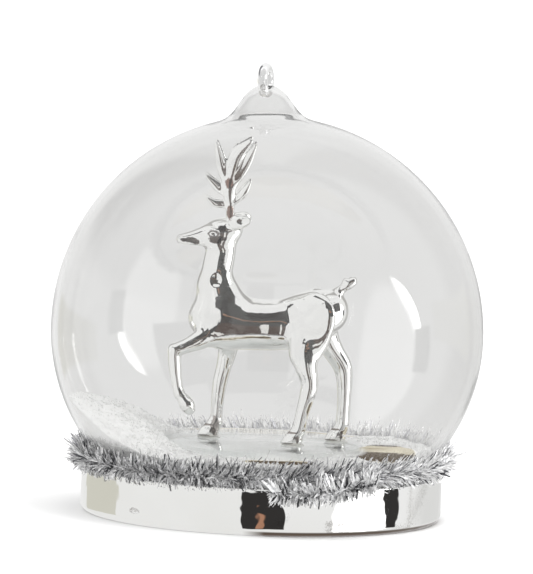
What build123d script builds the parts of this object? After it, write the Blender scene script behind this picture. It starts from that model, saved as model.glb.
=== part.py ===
from build123d import *
import os
from math import cos, radians, sin, sqrt

# Snow globe ornament. Units are millimetres. +Z is up, and the origin is at the centre of the
# underside of the silvered base. The reindeer inside faces -X, and -Y is the front.

# Blown glass globe: a ball whose lower half is a little flattened, open at its mouth.
GLOBE_RADIUS = 50.0
GLOBE_CENTRE_Z = 42.5
GLOBE_DROP = 46.5
GLASS_WALL = 1.0
MOUTH_Z = 11.6
# The drawn glass point and its hanging loop lean a little away from the base's axis.
TOP_LEAN_DEG = 2.5
NIPPLE_OUTLINE = ((10.6, 48.6), (8.0, 50.0), (7.1, 51.2), (5.9, 53.0), (4.5, 54.6), (2.5, 56.2))
NIPPLE_ROOT = 47.5
NIPPLE_HOLLOW = ((6.2, 48.2), (5.4, 50.6), (3.6, 52.8), (1.2, 54.0))
LOOP_ROD = 2.4
LOOP_OUTER = 8.0
LOOP_TOP = 62.4
LOOP_TURN_DEG = 75.0

# Silvered glass base: a shallow dish with a rounded bottom corner.
BASE_RADIUS = 41.7
BASE_HEIGHT = 11.0
BASE_CORNER = 1.8
BASE_WALL = 1.0
BASE_FLOOR = 1.2
SILVER_THICKNESS = 0.15

# Moulded floor plug: a boss in the globe's mouth, a flange under its rim, and a skirt.
BOSS_RADIUS = 35.8
FLOOR_Z = 15.5
FLANGE_RADIUS = 40.2
FLANGE_THICKNESS = 2.0
SKIRT_RADIUS = 30.0
SKIRT_WALL = 1.6
PLUG_PLATE = 2.0
GLUE_TOP_Z = 13.6

# Clear round stand that the reindeer is glued to.
DISC_RADIUS = 22.9
DISC_THICKNESS = 1.5
HOOF_GLUE = 0.2
GLUE_RADIUS = 2.6
HOOF_Z = FLOOR_Z + DISC_THICKNESS + HOOF_GLUE

# Loose snow and its clearance to the glass and to the stand.
SNOW_GAP = 0.3
BED_DEPTH = 1.2
DRIFT_OUTLINE = ((-20.0, 17.4), (-27.0, 20.7), (-33.0, 22.8), (-39.5, 24.8), (-46.0, 26.4))
DRIFT_HALF_LENGTH = 30.0
BARE_PATCH = (24.0, 60.0, -16.0, 18.0)

# Tinsel garland wound round the joint of globe and base, with its free end lying over it.
TINSEL_RADIUS = 41.2
TINSEL_Z = 12.8
PILE_RADIUS = 3.7
CORE_RADIUS = 0.45
CORE_SLOT = 0.7
END_FROM_DEG = -86.0
END_SWEEP_DEG = 31.0
END_RADIUS = 45.6
END_Z = 10.6
END_PILE_RADIUS = 3.4
TINSEL_GAP = 0.2

# Reindeer: stations along each limb as (x, y, z, radius in the side view, radius across).
BODY = (
    (-16.6, 0.0, 45.3, 1.9, 2.2),
    (-14.6, 0.0, 44.8, 4.3, 4.0),
    (-11.0, 0.0, 44.4, 5.9, 5.0),
    (-5.5, 0.0, 44.2, 6.1, 4.9),
    (0.5, 0.0, 44.0, 5.9, 4.4),
    (6.5, 0.0, 44.9, 6.6, 4.9),
    (12.0, 0.0, 46.2, 6.8, 5.5),
    (15.8, 0.0, 47.5, 5.0, 4.6),
    (17.8, 0.0, 47.8, 2.2, 2.4),
)
NECK = (
    (-11.0, 0.0, 46.0, 5.8, 4.6),
    (-11.2, 0.0, 49.5, 5.4, 4.2),
    (-12.1, 0.0, 52.6, 4.6, 3.7),
    (-12.1, 0.0, 55.8, 3.7, 3.2),
    (-11.5, 0.0, 60.0, 3.5, 2.9),
    (-10.9, 0.0, 63.8, 3.0, 2.7),
)
HEAD = (
    (-7.9, 0.0, 66.2, 1.6, 1.4),
    (-9.4, 0.0, 65.9, 2.9, 2.6),
    (-11.6, 0.0, 65.2, 3.3, 2.9),
    (-14.8, 0.0, 64.2, 2.2, 2.2),
    (-18.0, 0.0, 63.6, 1.2, 1.4),
    (-20.6, 0.0, 63.4, 0.9, 1.1),
    (-21.5, 0.0, 63.4, 0.5, 0.7),
)
NEAR_UPPER_ARM = (
    (-10.6, -3.0, 43.0, 3.6, 2.2),
    (-14.6, -4.0, 40.9, 2.5, 2.0),
    (-18.6, -4.8, 39.0, 1.6, 1.5),
    (-21.2, -5.0, 37.9, 1.3, 1.3),
    (-22.1, -5.0, 37.5, 0.8, 0.9),
)
NEAR_SHIN = (
    (-21.2, -5.0, 38.9, 0.8, 0.9),
    (-21.2, -5.0, 37.6, 1.3, 1.3),
    (-21.0, -5.0, 34.4, 1.2, 1.1),
    (-20.0, -5.0, 29.0, 0.9, 0.9),
    (-19.7, -5.0, 27.2, 0.8, 0.9),
)
NEAR_FORE_HOOF = (
    (-20.4, -5.0, 28.6, 0.7, 0.8),
    (-19.2, -5.0, 27.2, 1.2, 1.2),
    (-17.7, -5.0, 25.2, 1.5, 1.5),
    (-16.9, -5.0, 23.9, 0.9, 1.1),
)
FAR_FORELEG = (
    (-9.0, 3.2, 42.5, 3.4, 2.2),
    (-8.8, 4.2, 38.0, 2.4, 1.8),
    (-9.6, 4.8, 33.5, 1.6, 1.4),
    (-10.7, 5.0, 28.3, 1.3, 1.2),
    (-11.0, 5.0, 23.5, 1.1, 1.0),
    (-11.2, 5.0, 20.8, 1.3, 1.2),
    (-12.2, 5.0, 19.2, 1.8, 1.5),
    (-12.6, 5.0, HOOF_Z, 2.3, 1.8),
)
NEAR_HIND_LEG = (
    (10.6, -2.6, 45.0, 5.6, 2.6),
    (8.6, -3.8, 39.4, 4.2, 2.6),
    (9.1, -4.6, 35.4, 2.5, 2.1),
    (10.0, -5.0, 31.4, 2.0, 1.6),
    (9.8, -5.0, 28.8, 1.7, 1.4),
    (8.6, -5.0, 24.0, 1.3, 1.1),
    (8.2, -5.0, 20.8, 1.4, 1.3),
    (7.4, -5.0, 19.4, 1.8, 1.5),
    (6.9, -5.0, HOOF_Z, 2.2, 1.8),
)
FAR_HIND_LEG = (
    (12.9, 2.6, 45.4, 3.8, 2.6),
    (13.6, 3.5, 41.8, 2.8, 2.4),
    (15.5, 4.3, 38.2, 2.2, 1.9),
    (17.6, 5.0, 34.8, 2.0, 1.6),
    (18.4, 5.0, 31.4, 1.4, 1.3),
    (18.4, 5.0, 23.4, 1.2, 1.1),
    (18.2, 5.0, 20.6, 1.4, 1.3),
    (17.4, 5.0, 19.2, 1.8, 1.5),
    (17.1, 5.0, HOOF_Z, 2.3, 1.8),
)
TAIL = (
    (15.4, 0.0, 51.6, 1.4, 1.2),
    (17.4, 0.0, 53.2, 1.0, 1.0),
    (18.9, 0.0, 54.2, 1.1, 1.1),
    (20.0, 0.0, 55.0, 0.4, 0.4),
)
EAR = (
    (-9.6, 1.6, 66.9, 1.0, 0.7),
    (-8.2, 2.8, 67.6, 1.7, 0.8),
    (-6.4, 3.8, 68.1, 1.4, 0.6),
    (-4.9, 4.4, 68.5, 0.4, 0.3),
)
HOOF_SPOTS = ((-12.6, 5.0), (6.9, -5.0), (17.1, 5.0))

# Antler: a flattened stem and leaf-shaped tines, as (x, y, z, half width, half thickness).
ANTLER_STEM = (
    (-9.6, 1.1, 67.4, 0.9, 0.9),
    (-9.6, 1.9, 71.2, 0.9, 0.8),
    (-9.9, 2.7, 74.2, 1.1, 0.8),
    (-10.1, 3.4, 76.8, 1.5, 0.8),
    (-9.6, 3.9, 78.6, 0.8, 0.5),
)
ANTLER_TINES = (
    ((-9.4, 1.9, 71.4), (-12.2, 2.2, 72.4), (-14.9, 2.8, 73.7), 0.8),
    ((-10.0, 2.9, 75.0), (-12.6, 3.2, 76.8), (-15.4, 4.0, 79.3), 0.9),
    ((-10.2, 3.4, 76.6), (-12.0, 3.9, 81.2), (-13.1, 4.8, 86.2), 1.0),
    ((-9.8, 3.6, 77.0), (-8.6, 4.5, 82.0), (-5.4, 5.4, 87.0), 1.1),
    ((-9.2, 3.4, 76.6), (-6.6, 4.0, 80.8), (-3.9, 4.8, 85.4), 0.9),
    ((-9.6, 2.2, 72.6), (-7.4, 2.8, 74.9), (-5.1, 3.6, 77.7), 0.8),
)


def upright(sketch):
    """A sketch drawn in radius and height, stood up in the XZ plane."""
    return Plane.XZ * sketch


def quarter(outline, low, high, reach=80.0):
    """The part of an outline to the right of the axis and between two heights."""
    window = Pos(reach / 2, (low + high) / 2) * Rectangle(reach, high - low)
    return outline & window


def ball_section(inset, low_z):
    """Half the section of the globe, inset from its outer face, down to a height."""
    top = Pos(0, GLOBE_CENTRE_Z) * Circle(GLOBE_RADIUS - inset)
    bottom = Pos(0, GLOBE_CENTRE_Z) * Ellipse(GLOBE_RADIUS - inset, GLOBE_DROP - inset)
    upper = quarter(top, GLOBE_CENTRE_Z, GLOBE_CENTRE_Z + GLOBE_RADIUS + 1)
    return upper + quarter(bottom, low_z, GLOBE_CENTRE_Z)


def turned(sketch):
    """A section turned about the vertical axis."""
    return revolve(upright(sketch), Axis.Z)


def ball(inset, low_z):
    """A solid of the globe's inside or outside shape, down to a height."""
    return turned(ball_section(inset, low_z))


def block(x_low, x_high, y_low, y_high, z_low, z_high):
    """A box between two corners."""
    middle = Pos((x_low + x_high) / 2, (y_low + y_high) / 2, (z_low + z_high) / 2)
    return middle * Box(x_high - x_low, y_high - y_low, z_high - z_low)


def leaning(solid):
    """A solid drawn above the globe's centre, put in place on its leaning axis."""
    return Pos(0, 0, GLOBE_CENTRE_Z) * Rot(0, -TOP_LEAN_DEG, 0) * solid


def stem_section(points, root):
    """Half the section of a turned stem, from a spline through its outline."""
    first, last = points[0], points[-1]
    side = Spline(*points)
    rest = Polyline(last, (0, last[1]), (0, root), (first[0], root), first)
    return make_face([side, *rest.edges()])


def glass_globe():
    shell = turned(ball_section(0, MOUTH_Z) - ball_section(GLASS_WALL, MOUTH_Z))
    nipple = leaning(turned(stem_section(NIPPLE_OUTLINE, NIPPLE_ROOT)))
    hollow = leaning(turned(stem_section(NIPPLE_HOLLOW, NIPPLE_ROOT - 2)))
    nipple -= ball(GLASS_WALL / 2, MOUTH_Z)
    return shell + nipple - hollow


def hanging_loop():
    """A glass ring, its foot cut flat where it is welded to the drawn point."""
    ring_radius = (LOOP_OUTER - LOOP_ROD) / 2
    ring = Rot(0, 0, LOOP_TURN_DEG) * Rot(90, 0, 0) * Torus(ring_radius, LOOP_ROD / 2)
    ring = Pos(0, 0, LOOP_TOP - LOOP_OUTER / 2) * ring
    foot = NIPPLE_OUTLINE[-1][1]
    return leaning(ring & block(-9, 9, -9, 9, foot, LOOP_TOP + 1))


def dish(radius, floor, height, corner):
    """A solid disc with a rounded bottom edge, standing on a height."""
    body = Pos(0, 0, (floor + height) / 2) * Cylinder(radius, height - floor)
    return fillet(body.edges().group_by(Axis.Z)[0], corner)


def glass_base():
    inside = dish(BASE_RADIUS - BASE_WALL, BASE_FLOOR, BASE_HEIGHT + 1, BASE_CORNER - BASE_WALL)
    shell = dish(BASE_RADIUS, 0, BASE_HEIGHT, BASE_CORNER) - inside
    rim = shell.edges().group_by(Axis.Z)[-1]
    return fillet(rim, BASE_WALL * 0.35)


def silver_lining():
    """The mirror coat on the inside of the base, below the plug's flange."""
    top = MOUTH_Z - FLANGE_THICKNESS
    outer = dish(BASE_RADIUS - BASE_WALL, BASE_FLOOR, top, BASE_CORNER - BASE_WALL)
    inner_radius = BASE_RADIUS - BASE_WALL - SILVER_THICKNESS
    inner_floor = BASE_FLOOR + SILVER_THICKNESS
    inner = dish(inner_radius, inner_floor, top + 1, BASE_CORNER - BASE_WALL - SILVER_THICKNESS)
    return outer - inner


def floor_plug():
    """The boss closes the globe's mouth, and the skirt stands on the silvered floor."""
    foot = BASE_FLOOR + SILVER_THICKNESS
    flange_low = MOUTH_Z - FLANGE_THICKNESS
    outline = Polyline(
        (0, FLOOR_Z),
        (BOSS_RADIUS, FLOOR_Z),
        (BOSS_RADIUS, MOUTH_Z),
        (FLANGE_RADIUS, MOUTH_Z),
        (FLANGE_RADIUS, flange_low),
        (SKIRT_RADIUS, flange_low),
        (SKIRT_RADIUS, foot),
        (SKIRT_RADIUS - SKIRT_WALL, foot),
        (SKIRT_RADIUS - SKIRT_WALL, FLOOR_Z - PLUG_PLATE),
        (0, FLOOR_Z - PLUG_PLATE),
        (0, FLOOR_Z),
    )
    return turned(make_face(outline))


def globe_glue_bead():
    """A clear fillet of glue between the globe's outside, the flange and the base's rim."""
    inner = BOSS_RADIUS + 0.4
    outline = Polyline(
        (inner, MOUTH_Z),
        (FLANGE_RADIUS, MOUTH_Z),
        (FLANGE_RADIUS - 0.5, MOUTH_Z + 1.0),
        (FLANGE_RADIUS - 1.0, GLUE_TOP_Z),
        (inner, GLUE_TOP_Z),
        (inner, MOUTH_Z),
    )
    return turned(make_face(outline) - ball_section(0, MOUTH_Z - 1))


def stand_disc():
    body = Pos(0, 0, FLOOR_Z + DISC_THICKNESS / 2) * Cylinder(DISC_RADIUS, DISC_THICKNESS)
    return chamfer(body.edges().group_by(Axis.Z)[-1], DISC_THICKNESS * 0.2)


def hoof_glue():
    low = HOOF_Z - HOOF_GLUE / 2
    pads = [Pos(x, y, low) * Cylinder(GLUE_RADIUS, HOOF_GLUE) for x, y in HOOF_SPOTS]
    return Compound(children=pads)


def tube(stations):
    """A limb: elliptical sections lofted along a line of stations."""
    points = [Vector(x, y, z) for x, y, z, _, _ in stations]
    sections = []
    for i, (x, y, z, side, across) in enumerate(stations):
        before = points[max(i - 1, 0)]
        after = points[min(i + 1, len(points) - 1)]
        along = after - before
        flat = Vector(along.X, 0, along.Z)
        station = Plane(origin=(x, y, z), x_dir=(0, 1, 0), z_dir=flat)
        sections.append(station * Ellipse(across, side))
    return loft(sections)


def planted(stations):
    """A leg whose last section is level, so that the hoof stands flat."""
    return tube(stations) & block(-40, 40, -20, 20, HOOF_Z, 80)


def mirrored(stations):
    return tuple((x, -y, z, side, across) for x, y, z, side, across in stations)


def lengthened(stations, extra=0.8):
    """The stations with the last one pushed on along the leg, to be cut level."""
    x, y, z, side, across = stations[-1]
    return (*stations[:-1], (x, y, z - extra, side, across))


def reindeer_body():
    deer = tube(BODY)
    for limb in (NECK, HEAD, TAIL, EAR, mirrored(EAR), NEAR_UPPER_ARM, NEAR_SHIN, NEAR_FORE_HOOF):
        deer += tube(limb)
    for leg in (FAR_FORELEG, NEAR_HIND_LEG, FAR_HIND_LEG):
        deer += planted(lengthened(leg))
    return deer


def leaf(start, middle, tip, half_width):
    """A flat leaf-shaped tine that narrows to its tip."""
    thin = 0.45
    return tube(
        (
            (*start, half_width * 0.55, thin),
            (*middle, half_width, thin * 1.2),
            (*tip, half_width * 0.25, thin * 0.5),
        )
    )


def antler(head):
    """The left antler, its foot cut to the head that it is set into."""
    whole = tube(ANTLER_STEM)
    for tine in ANTLER_TINES:
        whole += leaf(*tine)
    return whole - head


def snow_space():
    """The room for snow between the glass, the floor and the stand."""
    inside = ball(GLASS_WALL + SNOW_GAP, FLOOR_Z)
    stand = Pos(0, 0, FLOOR_Z) * Cylinder(DISC_RADIUS + SNOW_GAP, 40)
    floor = Pos(0, 0, FLOOR_Z + 10) * Cylinder(BOSS_RADIUS + 12, 20)
    return (inside & floor) - stand


def snow_drift(space):
    """The heap against the left wall."""
    first, last = DRIFT_OUTLINE[0], DRIFT_OUTLINE[-1]
    outline = Polyline(*DRIFT_OUTLINE, (last[0], FLOOR_Z), (first[0], FLOOR_Z), first)
    heap = extrude(upright(make_face(outline)), DRIFT_HALF_LENGTH, both=True)
    return heap & space


def snow_bed(space):
    """The thin scatter round the stand, left bare at the right of it."""
    layer = block(-60, 60, -60, 60, FLOOR_Z, FLOOR_Z + BED_DEPTH)
    x_low, x_high, y_low, y_high = BARE_PATCH
    bare = block(x_low, x_high, y_low, y_high, FLOOR_Z - 1, FLOOR_Z + 9)
    behind_drift = block(
        -60, DRIFT_OUTLINE[0][0], -DRIFT_HALF_LENGTH, DRIFT_HALF_LENGTH, FLOOR_Z - 1, 40
    )
    return (layer & space) - bare - behind_drift


def ring_section(radius, height, size):
    return Pos(radius, height) * Circle(size)


def tinsel_bore():
    """What the garland wraps: the globe, the glue and the base, with a little room."""
    globe = ball_section(-TINSEL_GAP, MOUTH_Z - 8)
    low = Pos(0, BASE_HEIGHT / 2 - 2) * Rectangle(
        2 * (BASE_RADIUS + TINSEL_GAP), BASE_HEIGHT + 4 + 2 * TINSEL_GAP
    )
    glue = Pos(0, MOUTH_Z) * Rectangle(2 * (FLANGE_RADIUS + TINSEL_GAP), 2 * (GLUE_TOP_Z - MOUTH_Z))
    return globe + low + glue


def tinsel_pile():
    """The foil pile, open on its inner side down to the wire."""
    pile = ring_section(TINSEL_RADIUS, TINSEL_Z, PILE_RADIUS)
    slot = Pos(TINSEL_RADIUS - PILE_RADIUS / 2, TINSEL_Z) * Rectangle(PILE_RADIUS, CORE_SLOT)
    core = ring_section(TINSEL_RADIUS, TINSEL_Z, CORE_RADIUS + 0.1)
    return turned(pile - tinsel_bore() - slot - core)


def tinsel_core():
    return turned(ring_section(TINSEL_RADIUS, TINSEL_Z, CORE_RADIUS))


def end_arc(sketch):
    """A section swept round the front of the base, along the garland's free end."""
    return revolve(Rot(0, 0, END_FROM_DEG) * upright(sketch), Axis.Z, END_SWEEP_DEG)


def tinsel_end():
    """The free end's pile, lying over the garland at the front and hanging below it."""
    pile = ring_section(END_RADIUS, END_Z, END_PILE_RADIUS)
    beneath = ring_section(TINSEL_RADIUS, TINSEL_Z, PILE_RADIUS + TINSEL_GAP)
    core = ring_section(END_RADIUS, END_Z, CORE_RADIUS + 0.1)
    slot = Pos(END_RADIUS + END_PILE_RADIUS / 2, END_Z) * Rectangle(END_PILE_RADIUS, CORE_SLOT)
    return end_arc(pile - beneath - tinsel_bore() - core - slot)


def tinsel_end_core():
    return end_arc(ring_section(END_RADIUS, END_Z, CORE_RADIUS))


def model():
    """Every piece by the name of its node."""
    space = snow_space()
    drift = snow_drift(space)
    deer = reindeer_body()
    antler_left = antler(deer)
    return {
        "glass_globe": glass_globe(),
        "hanging_loop": hanging_loop(),
        "glass_base": glass_base(),
        "silver_lining": silver_lining(),
        "floor_plug": floor_plug(),
        "globe_glue_bead": globe_glue_bead(),
        "stand_disc": stand_disc(),
        "hoof_glue": hoof_glue(),
        "reindeer_body": deer,
        "antler_left": antler_left,
        "antler_right": mirror(antler_left, Plane.XZ),
        "snow_drift": drift,
        "snow_bed": snow_bed(space),
        "tinsel_core": tinsel_core(),
        "tinsel_pile": tinsel_pile(),
        "tinsel_end_core": tinsel_end_core(),
        "tinsel_end": tinsel_end(),
    }


os.makedirs("parts", exist_ok=True)
for name, solid in model().items():
    export_step(solid, f"parts/{name}.step")
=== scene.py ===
from math import asin, atan2, ceil, cos, degrees, pi, radians, sin, sqrt

import bpy
import numpy as np
from mathutils import Matrix, Vector


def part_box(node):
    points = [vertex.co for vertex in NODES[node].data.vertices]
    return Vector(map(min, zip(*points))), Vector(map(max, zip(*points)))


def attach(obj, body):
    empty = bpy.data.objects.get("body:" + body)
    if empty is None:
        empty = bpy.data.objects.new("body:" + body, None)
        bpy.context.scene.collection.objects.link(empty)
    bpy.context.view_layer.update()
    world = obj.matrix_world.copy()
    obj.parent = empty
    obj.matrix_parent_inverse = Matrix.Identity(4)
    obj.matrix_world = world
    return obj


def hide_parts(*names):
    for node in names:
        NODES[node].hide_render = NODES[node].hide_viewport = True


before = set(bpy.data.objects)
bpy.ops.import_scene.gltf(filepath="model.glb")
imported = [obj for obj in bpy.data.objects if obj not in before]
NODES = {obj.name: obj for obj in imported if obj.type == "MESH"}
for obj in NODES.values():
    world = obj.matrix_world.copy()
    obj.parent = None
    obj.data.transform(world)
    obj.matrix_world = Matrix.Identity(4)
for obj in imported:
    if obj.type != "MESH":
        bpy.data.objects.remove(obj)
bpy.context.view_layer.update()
MM = 0.001


# ---------------------------------------------------------------- sizes from the frame, in mm

def span(node):
    """A node's lowest and highest corners in millimetres."""
    low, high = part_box(node)
    return np.array(low) / MM, np.array(high) / MM


GLOBE_LOW, GLOBE_HIGH = span("glass_globe")
BASE_LOW, BASE_HIGH = span("glass_base")
DISC_LOW, DISC_HIGH = span("stand_disc")
LINING_LOW, LINING_HIGH = span("silver_lining")
WIRE_LOW, WIRE_HIGH = span("tinsel_core")
END_LOW, END_HIGH = span("tinsel_end_core")

GLOBE_R = (GLOBE_HIGH[0] - GLOBE_LOW[0]) / 2
GLOBE_Z = 42.5
GLOBE_DROP = 46.5
GLASS_WALL = 1.0
MOUTH_Z = GLOBE_LOW[2]
TOP_LEAN = radians(2.5)
RING_TOP = GLOBE_Z + 62.4
BASE_R = (BASE_HIGH[0] - BASE_LOW[0]) / 2
BASE_TOP = BASE_HIGH[2]
FLOOR_Z = span("floor_plug")[1][2]
DISC_R = (DISC_HIGH[0] - DISC_LOW[0]) / 2
DISC_Z = DISC_HIGH[2]
HOOF_Z = DISC_Z + 0.2
HOOVES = ((-12.5, 5.0), (6.9, -5.0), (17.0, 5.0))
WIRE_HALF = 0.45
WIRE_R = (WIRE_HIGH[0] - WIRE_LOW[0]) / 2 - WIRE_HALF
WIRE_Z = (WIRE_LOW[2] + WIRE_HIGH[2]) / 2
END_FROM = -86.0
END_SWEEP = 31.0
END_R = -END_LOW[1] - WIRE_HALF
END_Z = (END_LOW[2] + END_HIGH[2]) / 2
ROUND_STEPS = 192


# ---------------------------------------------------------------- mesh helpers

def add_object(name, vertices, faces, material, smooth=True):
    """A mesh object from points in millimetres."""
    mesh = bpy.data.meshes.new(name)
    mesh.from_pydata([tuple(v) for v in np.asarray(vertices) * MM], [], faces)
    mesh.validate()
    mesh.polygons.foreach_set("use_smooth", [smooth] * len(mesh.polygons))
    mesh.materials.append(material)
    made = bpy.data.objects.new(name, mesh)
    bpy.context.scene.collection.objects.link(made)
    return made


def take_place(piece, slot, *nodes):
    """The piece stands for CAD nodes and rides on the one body; the slot is not used."""
    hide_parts(*nodes)
    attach(piece, "root")


def wrapped(rows, columns, closed=True, first=0):
    """Quads over rows of points that each close on themselves; closed joins the last row to the first."""
    faces = []
    for i in range(rows if closed else rows - 1):
        k = (i + 1) % rows
        for j in range(columns):
            m = (j + 1) % columns
            corners = ((i, j), (i, m), (k, m), (k, j))
            faces.append([first + row * columns + column for row, column in corners])
    return faces


def turned(profile, steps):
    """Points and faces of a closed profile turned about Z; points on the axis are shared."""
    points, faces, rings = [], [], []
    for radius, height in profile:
        if radius < 1e-6:
            rings.append([len(points)] * steps)
            points.append((0.0, 0.0, height))
            continue
        first = len(points)
        rings.append(list(range(first, first + steps)))
        for i in range(steps):
            a = 2 * pi * i / steps
            points.append((radius * cos(a), radius * sin(a), height))
    for low, high in zip(rings, rings[1:] + rings[:1]):
        for i in range(steps):
            j = (i + 1) % steps
            corners = []
            for c in (low[i], low[j], high[j], high[i]):
                if c not in corners:
                    corners.append(c)
            if len(corners) > 2:
                faces.append(corners)
    return points, faces


def arc(centre, radius, start, end, count):
    """Points of an arc in the profile plane; radius is one number or a pair."""
    rx, ry = radius if isinstance(radius, tuple) else (radius, radius)
    return [
        (centre[0] + rx * cos(radians(a)), centre[1] + ry * sin(radians(a)))
        for a in np.linspace(start, end, count)
    ]


def smooth_line(points, count):
    """A Catmull-Rom line through points with any number of columns."""
    p = np.array(points, float)
    p = np.vstack([2 * p[0] - p[1], p, 2 * p[-1] - p[-2]])
    out = []
    for a, b, c, d in zip(p, p[1:], p[2:], p[3:]):
        for t in np.arange(count) / count:
            straight = 2 * b + (c - a) * t
            curved = (2 * a - 5 * b + 4 * c - d) * t**2 + (3 * b - a - 3 * c + d) * t**3
            out.append(0.5 * (straight + curved))
    out.append(p[-2])
    return np.array(out)


# ---------------------------------------------------------------- materials

class Nodes:
    """A node tree with short ways to add and join nodes."""

    def __init__(self, tree):
        self.tree = tree
        self.tree.nodes.clear()

    def node(self, kind, inputs=None, **settings):
        """Adds a node; an input is another node's output, a number or a colour of three numbers."""
        made = self.tree.nodes.new("ShaderNode" + kind)
        for key, value in settings.items():
            setattr(made, key, value)
        for key, value in (inputs or {}).items():
            socket = made.inputs[key]
            if isinstance(value, bpy.types.NodeSocket):
                self.tree.links.new(value, socket)
            elif socket.type == "RGBA":
                socket.default_value = (*value, 1)
            else:
                socket.default_value = value
        return made

    def math(self, operation, a, b=0.0, **settings):
        return self.node("Math", {0: a, 1: b}, operation=operation, **settings).outputs[0]

    def mix(self, factor, below, above, blend="MIX"):
        return self.node("MixRGB", {0: factor, 1: below, 2: above}, blend_type=blend).outputs[0]

    def remap(self, value, start, end, low=0.0, high=1.0, **settings):
        """A value between start and end turned into one between low and high."""
        ends = {"Value": value, "From Min": start, "From Max": end, "To Min": low, "To Max": high}
        return self.node("MapRange", ends, **settings).outputs["Result"]


class Shader(Nodes):
    """A material's nodes."""

    def __init__(self, name):
        self.material = bpy.data.materials.new(name)
        self.material.use_nodes = True
        super().__init__(self.material.node_tree)
        self.out = self.node("OutputMaterial")

    def surface(self, shader):
        self.tree.links.new(shader.outputs[0], self.out.inputs["Surface"])

    def principled(self, **inputs):
        made = self.node("BsdfPrincipled", {k.replace("_", " "): v for k, v in inputs.items()})
        self.surface(made)
        return made

    def position(self):
        return self.node("TexCoord").outputs["Object"]

    def noise(self, scale, detail=3.0, roughness=0.5):
        inputs = {"Vector": self.position(), "Scale": scale, "Detail": detail, "Roughness": roughness}
        return self.node("TexNoise", inputs).outputs["Fac"]

    def ramp(self, value, stops):
        """A colour for a value, from pairs of a value and a colour or a grey."""
        made = self.node("ValToRGB", {"Fac": value})
        band = made.color_ramp
        while len(band.elements) < len(stops):
            band.elements.new(0.5)
        for element, (place, colour) in zip(band.elements, stops):
            element.position = place
            element.color = (*(colour if isinstance(colour, tuple) else (colour,) * 3), 1)
        return made.outputs["Color"]

    def between(self, value, low, high):
        return self.remap(value, 0.0, 1.0, low, high)

    def measured(self, operation, vector, other=(0.0, 0.0, 0.0)):
        return self.node("VectorMath", {0: vector, 1: other}, operation=operation).outputs

    def blot(self, centre, radii):
        """1 inside an ellipsoid given in millimetres, falling to 0 over a ragged edge."""
        off = self.measured("SUBTRACT", self.position(), [c * MM for c in centre])[0]
        scaled = self.measured("DIVIDE", off, [r * MM for r in radii])[0]
        far = self.measured("LENGTH", scaled)["Value"]
        ragged = self.math("ADD", far, self.between(self.noise(900, 4, 0.7), -0.55, 0.55))
        return self.remap(ragged, 0.85, 1.05, 1.0, 0.0)

    def bump(self, height, distance):
        return self.node("Bump", {"Height": height, "Distance": distance}).outputs["Normal"]

    def lamps_pass(self, body, tint):
        """Glass that lets lamp light through to what is inside it."""
        clear = self.node("BsdfTransparent", {"Color": tint})
        path = self.node("LightPath").outputs
        lit = self.math("MAXIMUM", path["Is Shadow Ray"], path["Is Diffuse Ray"])
        self.surface(self.node("MixShader", {0: lit, 1: body.outputs[0], 2: clear.outputs[0]}))


def glass(name, tint, wave_scale, wave_depth, roughness, shine):
    """Clear glass with faint waves from blowing and a slight haze that varies."""
    s = Shader(name)
    body = s.principled(
        Base_Color=tint,
        Roughness=s.between(s.noise(60, 4), roughness * 0.4, roughness * 1.6),
        IOR=1.47,
        Transmission_Weight=1.0,
        Specular_IOR_Level=shine,
        Normal=s.bump(s.noise(wave_scale, 2), wave_depth),
    )
    s.lamps_pass(body, tint)
    return s.material


def clear_sheet(name, index):
    """A clear sheet: a faint shine over what lies behind it, with fine scuffs."""
    s = Shader(name)
    scuffs = s.bump(s.noise(260, 4), 0.00002)
    rough = s.between(s.noise(140, 4), 0.01, 0.09)
    shine = s.node("BsdfGlossy", {"Color": (0.92, 0.92, 0.92), "Roughness": rough, "Normal": scuffs})
    tint = s.ramp(s.noise(50, 3), [(0.3, (0.93, 0.94, 0.94)), (0.7, 0.98)])
    clear = s.node("BsdfTransparent", {"Color": tint})
    grazing = s.node("Fresnel", {"IOR": index}).outputs[0]
    inside = s.node("NewGeometry").outputs["Backfacing"]
    shown = s.math("SUBTRACT", grazing, inside, use_clamp=True)
    s.surface(s.node("MixShader", {0: shown, 1: clear.outputs[0], 2: shine.outputs[0]}))
    return s.material


# Painted reflections and shade on the reindeer's plating, dark and light patches on muzzle, eye, jaw, antlers
# and a leg: centre and radii, which reach through it, and tone.
PAINTED_REFLECTIONS = (
    ((-18.4, 0, 63.3), (1.5, 9, 0.75), (0.13, 0.12, 0.11)),
    ((-20.0, 0, 63.3), (0.9, 9, 0.4), (0.1, 0.09, 0.09)),
    ((-17.2, 0, 62.9), (1.0, 9, 0.7), (0.2, 0.18, 0.17)),
    ((-12.2, 0, 63.7), (2.3, 9, 1.0), (0.13, 0.11, 0.1)),
    ((-13.2, 0, 65.0), (1.5, 9, 0.95), (0.22, 0.2, 0.19)),
    ((-11.2, 0, 66.3), (1.0, 9, 0.8), (0.12, 0.1, 0.1)),
    ((-10.9, 0, 63.0), (0.75, 9, 0.6), (0.8, 0.79, 0.78)),
    ((-13.3, 0, 65.0), (0.95, 9, 0.52), (0.9, 0.9, 0.89)),
    ((-13.4, 0, 65.0), (0.34, 9, 0.28), (0.25, 0.23, 0.22)),
    ((-10.0, 0, 76.9), (1.1, 9, 1.4), (0.26, 0.16, 0.13)),
    ((-9.6, 0, 70.2), (0.8, 9, 1.9), (0.26, 0.18, 0.15)),
    ((-11.3, 0, 19.6), (1.2, 9, 2.6), (0.45, 0.42, 0.4)),
)
# The same painted reflections and shade on each standing hoof, from the middle of its sole.
HOOF_PAINTED_REFLECTIONS = (
    ((1.0, 0, 1.3), (0.42, 3, 1.25), (0.2, 0.17, 0.15)),
    ((-0.4, 0, 2.75), (1.5, 3, 0.26), (0.3, 0.27, 0.25)),
    ((-1.1, 0, 0.3), (1.7, 3, 0.24), (0.25, 0.23, 0.21)),
)


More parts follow.
